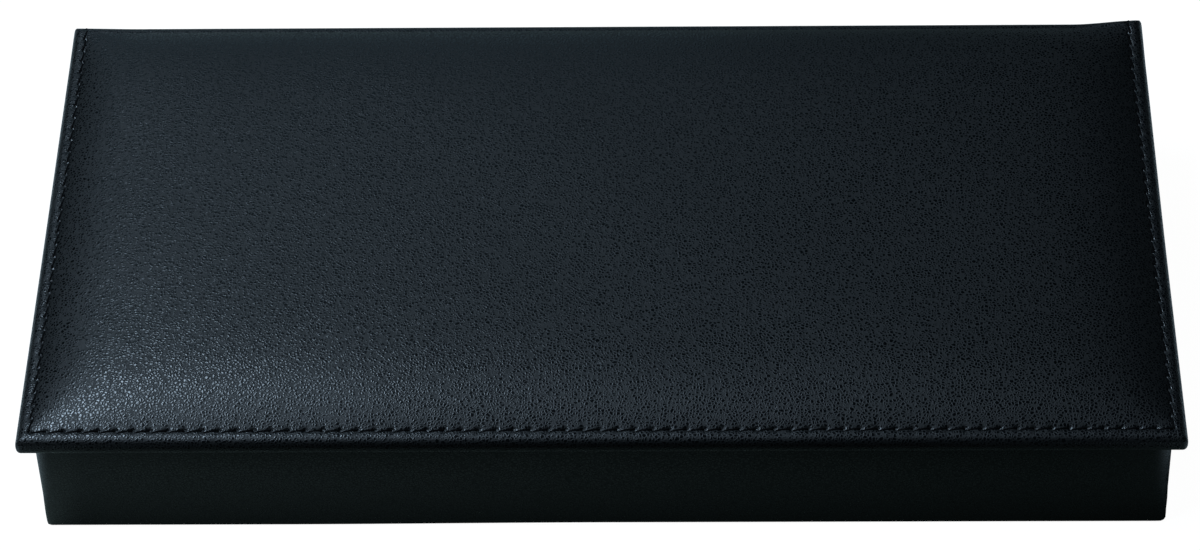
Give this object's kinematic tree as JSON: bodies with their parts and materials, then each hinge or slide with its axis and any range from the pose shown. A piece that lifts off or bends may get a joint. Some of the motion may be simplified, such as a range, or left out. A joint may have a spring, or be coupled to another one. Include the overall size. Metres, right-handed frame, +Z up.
{
  "type": "jewelry box",
  "caption": "Low rectangular jewelry box covered in black leather, with a padded stitched lid on a leather hinge, ring rolls, dividers and a mirror inside.",
  "frame": {"origin": "middle of the lid's outline, at the level of the table that the box stands on", "axes": "+X to the right along the long side, +Y from the front edge towards the hinge, +Z up"},
  "size_m": [0.25, 0.13, 0.0368],
  "materials": {
    "leather": "satin black, fine grain",
    "thread": "waxed black sewing thread",
    "suede": "grey faux suede over board or foam",
    "foam": "open-cell foam pad, hidden",
    "felt": "black felt",
    "card": "grey card, hidden",
    "fibreboard": "raw fibreboard, hidden",
    "nickel": "nickel-plated magnet, hidden",
    "steel": "plain sheet steel, hidden",
    "mirror": "silvered glass"
  },
  "bodies": {
    "base": {"bottom_cover": "felt", "bottom_filler": "card", "bottom_board": "fibreboard", "front_wall": "fibreboard", "rear_wall": "fibreboard", "left_wall": "fibreboard", "right_wall": "fibreboard", "base_leather": "leather", "hinge_flap": "leather", "hinge_stitching": "thread", "closing_magnets": "nickel", "floor_lining": "suede", "front_lining": "suede", "rear_lining": "suede", "left_lining": "suede", "right_lining": "suede", "bracelet_divider": "suede", "compartment_divider": "suede", "column_divider": "suede", "row_divider": "suede", "ring_bed": "suede", "ring_roll_1": "suede", "ring_roll_2": "suede", "ring_roll_3": "suede", "ring_roll_4": "suede", "ring_roll_5": "suede", "ring_roll_6": "suede"},
    "lid": {"lid_board": "fibreboard", "lid_filler": "card", "lid_foam": "foam", "lid_leather": "leather", "lid_stitching": "thread", "strike_plates": "steel", "lining_frame": "suede", "mirror": "mirror"}
  },
  "joints": [
    {"name": "lid_hinge", "type": "hinge", "parent": "base", "child": "lid", "pos_m": [0, 0.06525, 0.02765], "axis": [-1, 0, 0], "range_deg": [0, 175]}
  ]
}
